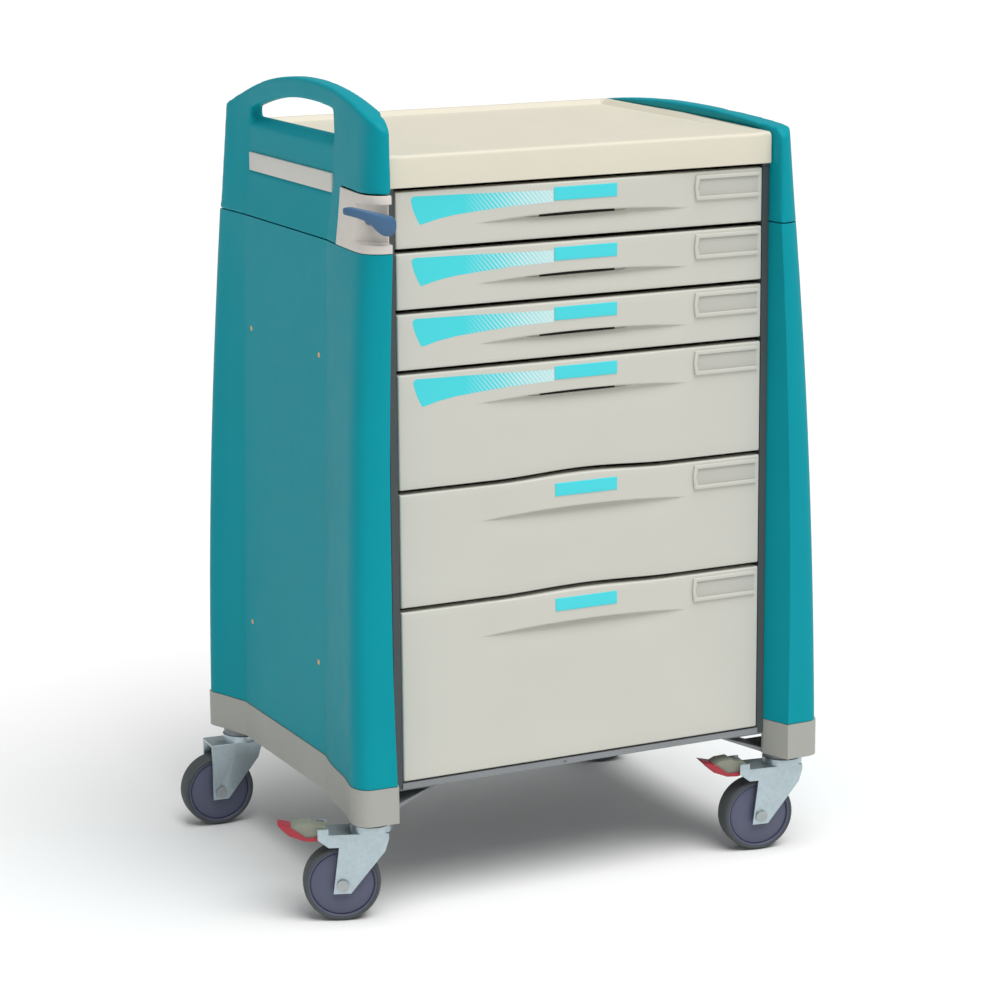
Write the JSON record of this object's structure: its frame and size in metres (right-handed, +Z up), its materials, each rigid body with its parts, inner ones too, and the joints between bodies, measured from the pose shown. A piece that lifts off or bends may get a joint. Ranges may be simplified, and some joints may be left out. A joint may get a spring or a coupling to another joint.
{
  "type": "crash cart",
  "caption": "Hospital trolley: steel drawer cabinet clad in moulded side panels, with push handle, lock lever and braked swivel casters.",
  "frame": {"origin": "middle of the footprint of the whole cart, pedals included, on the floor", "axes": "+Z up, +Y towards the back of the cart (the drawers open towards -Y), +X to the right seen from the front"},
  "size_m": [0.7652, 0.5274, 1.0555],
  "materials": {
    "shell_teal": "satin moulded plastic",
    "cream_plastic": "moulded, fine grain",
    "skirt_grey": "moulded, fine grain",
    "housing_grey": "moulded",
    "strip_grey": "plain extruded strip",
    "frame_grey": "powder coat",
    "base_grey": "powder coat",
    "tray_steel": "powder coat",
    "drawer_grey": "moulded, fine grain",
    "badge_cyan": "smooth",
    "slide_zinc": "zinc plated",
    "fork_zinc": "zinc plated",
    "lever_blue": "smooth",
    "pedal_red": "smooth",
    "wheel_violet": "moulded",
    "tread_rubber": "soft grey tread",
    "screw_brass": "darkened"
  },
  "bodies": {
    "cart": {"cabinet_side_left": "frame_grey", "cabinet_side_right": "frame_grey", "cabinet_back": "frame_grey", "cabinet_base": "base_grey", "caster_mounts": "base_grey", "worktop": "cream_plastic", "upper_panel_left": "shell_teal", "upper_panel_right": "shell_teal", "lower_panel_left": "shell_teal", "lower_panel_right": "shell_teal", "skirt_left": "skirt_grey", "skirt_right": "skirt_grey", "side_strip": "strip_grey", "lock_housing": "housing_grey", "panel_screws": "screw_brass", "slide_channels": "slide_zinc"},
    "drawer_1": {"drawer_front_1": "drawer_grey", "drawer_tray_1": "tray_steel", "drawer_runners_1": "slide_zinc", "pull_badge_1": "badge_cyan"},
    "drawer_2": {"drawer_front_2": "drawer_grey", "drawer_tray_2": "tray_steel", "drawer_runners_2": "slide_zinc", "pull_badge_2": "badge_cyan"},
    "drawer_3": {"drawer_front_3": "drawer_grey", "drawer_tray_3": "tray_steel", "drawer_runners_3": "slide_zinc", "pull_badge_3": "badge_cyan"},
    "drawer_4": {"drawer_front_4": "drawer_grey", "drawer_tray_4": "tray_steel", "drawer_runners_4": "slide_zinc", "pull_badge_4": "badge_cyan"},
    "drawer_5": {"drawer_front_5": "drawer_grey", "drawer_tray_5": "tray_steel", "drawer_runners_5": "slide_zinc", "pull_badge_5": "badge_cyan"},
    "drawer_6": {"drawer_front_6": "drawer_grey", "drawer_tray_6": "tray_steel", "drawer_runners_6": "slide_zinc", "pull_badge_6": "badge_cyan"},
    "lock_lever": {"lock_lever": "lever_blue"},
    "lock_bar": {"lock_bar": "slide_zinc"},
    "swivel_front_left": {"caster_fork_front_left": "fork_zinc", "wheel_axle_front_left": "fork_zinc"},
    "wheel_front_left": {"wheel_hub_front_left": "wheel_violet", "wheel_tyre_front_left": "tread_rubber"},
    "pedal_front_left": {"brake_pedal_front_left": "pedal_red"},
    "swivel_front_right": {"caster_fork_front_right": "fork_zinc", "wheel_axle_front_right": "fork_zinc"},
    "wheel_front_right": {"wheel_hub_front_right": "wheel_violet", "wheel_tyre_front_right": "tread_rubber"},
    "pedal_front_right": {"brake_pedal_front_right": "pedal_red"},
    "swivel_rear_left": {"caster_fork_rear_left": "fork_zinc", "wheel_axle_rear_left": "fork_zinc"},
    "wheel_rear_left": {"wheel_hub_rear_left": "wheel_violet", "wheel_tyre_rear_left": "tread_rubber"},
    "swivel_rear_right": {"caster_fork_rear_right": "fork_zinc", "wheel_axle_rear_right": "fork_zinc"},
    "wheel_rear_right": {"wheel_hub_rear_right": "wheel_violet", "wheel_tyre_rear_right": "tread_rubber"}
  },
  "joints": [
    {"name": "drawer_1_slide", "type": "slide", "parent": "cart", "child": "drawer_1", "axis": [0, -1, 0], "range_m": [0, 0.32]},
    {"name": "drawer_2_slide", "type": "slide", "parent": "cart", "child": "drawer_2", "axis": [0, -1, 0], "range_m": [0, 0.32]},
    {"name": "drawer_3_slide", "type": "slide", "parent": "cart", "child": "drawer_3", "axis": [0, -1, 0], "range_m": [0, 0.32]},
    {"name": "drawer_4_slide", "type": "slide", "parent": "cart", "child": "drawer_4", "axis": [0, -1, 0], "range_m": [0, 0.32]},
    {"name": "drawer_5_slide", "type": "slide", "parent": "cart", "child": "drawer_5", "axis": [0, -1, 0], "range_m": [0, 0.32]},
    {"name": "drawer_6_slide", "type": "slide", "parent": "cart", "child": "drawer_6", "axis": [0, -1, 0], "range_m": [0, 0.32]},
    {"name": "lock_turn", "type": "hinge", "parent": "cart", "child": "lock_lever", "pos_m": [-0.25172, -0.22375, 0.8967], "axis": [0, -1, 0], "range_deg": [0, 60]},
    {"name": "lock_lift", "type": "slide", "parent": "cart", "child": "lock_bar", "axis": [0, 0, 1], "range_m": [0, 0.0104]},
    {"name": "swivel_front_left_turn", "type": "hinge", "parent": "cart", "child": "swivel_front_left", "pos_m": [-0.26472, -0.21775, 0.118], "axis": [0, 0, 1], "continuous": true},
    {"name": "wheel_front_left_roll", "type": "hinge", "parent": "swivel_front_left", "child": "wheel_front_left", "pos_m": [-0.30137, -0.20441, 0.05], "axis": [0.342, 0.9397, 0], "continuous": true},
    {"name": "pedal_front_left_press", "type": "hinge", "parent": "swivel_front_left", "child": "pedal_front_left", "pos_m": [-0.32393, -0.1962, 0.119], "axis": [-0.342, -0.9397, 0], "range_deg": [0, 15]},
    {"name": "swivel_front_right_turn", "type": "hinge", "parent": "cart", "child": "swivel_front_right", "pos_m": [0.34728, -0.21775, 0.118], "axis": [0, 0, 1], "continuous": true},
    {"name": "wheel_front_right_roll", "type": "hinge", "parent": "swivel_front_right", "child": "wheel_front_right", "pos_m": [0.30866, -0.21232, 0.05], "axis": [0.1392, 0.9903, 0], "continuous": true},
    {"name": "pedal_front_right_press", "type": "hinge", "parent": "swivel_front_right", "child": "pedal_front_right", "pos_m": [0.28489, -0.20898, 0.119], "axis": [-0.1392, -0.9903, 0], "range_deg": [0, 15]},
    {"name": "swivel_rear_left_turn", "type": "hinge", "parent": "cart", "child": "swivel_rear_left", "pos_m": [-0.26472, 0.22525, 0.118], "axis": [0, 0, 1], "continuous": true},
    {"name": "wheel_rear_left_roll", "type": "hinge", "parent": "swivel_rear_left", "child": "wheel_rear_left", "pos_m": [-0.30363, 0.22797, 0.05], "axis": [0.0698, 0.9976, 0], "continuous": true},
    {"name": "swivel_rear_right_turn", "type": "hinge", "parent": "cart", "child": "swivel_rear_right", "pos_m": [0.34728, 0.22525, 0.118], "axis": [0, 0, 1], "continuous": true},
    {"name": "wheel_rear_right_roll", "type": "hinge", "parent": "swivel_rear_right", "child": "wheel_rear_right", "pos_m": [0.30913, 0.23336, 0.05], "axis": [0.2079, 0.9781, 0], "continuous": true}
  ],
  "couplings": [
    {"joint": "lock_turn", "follows": "lock_lift", "rad_per_m": 100}
  ]
}
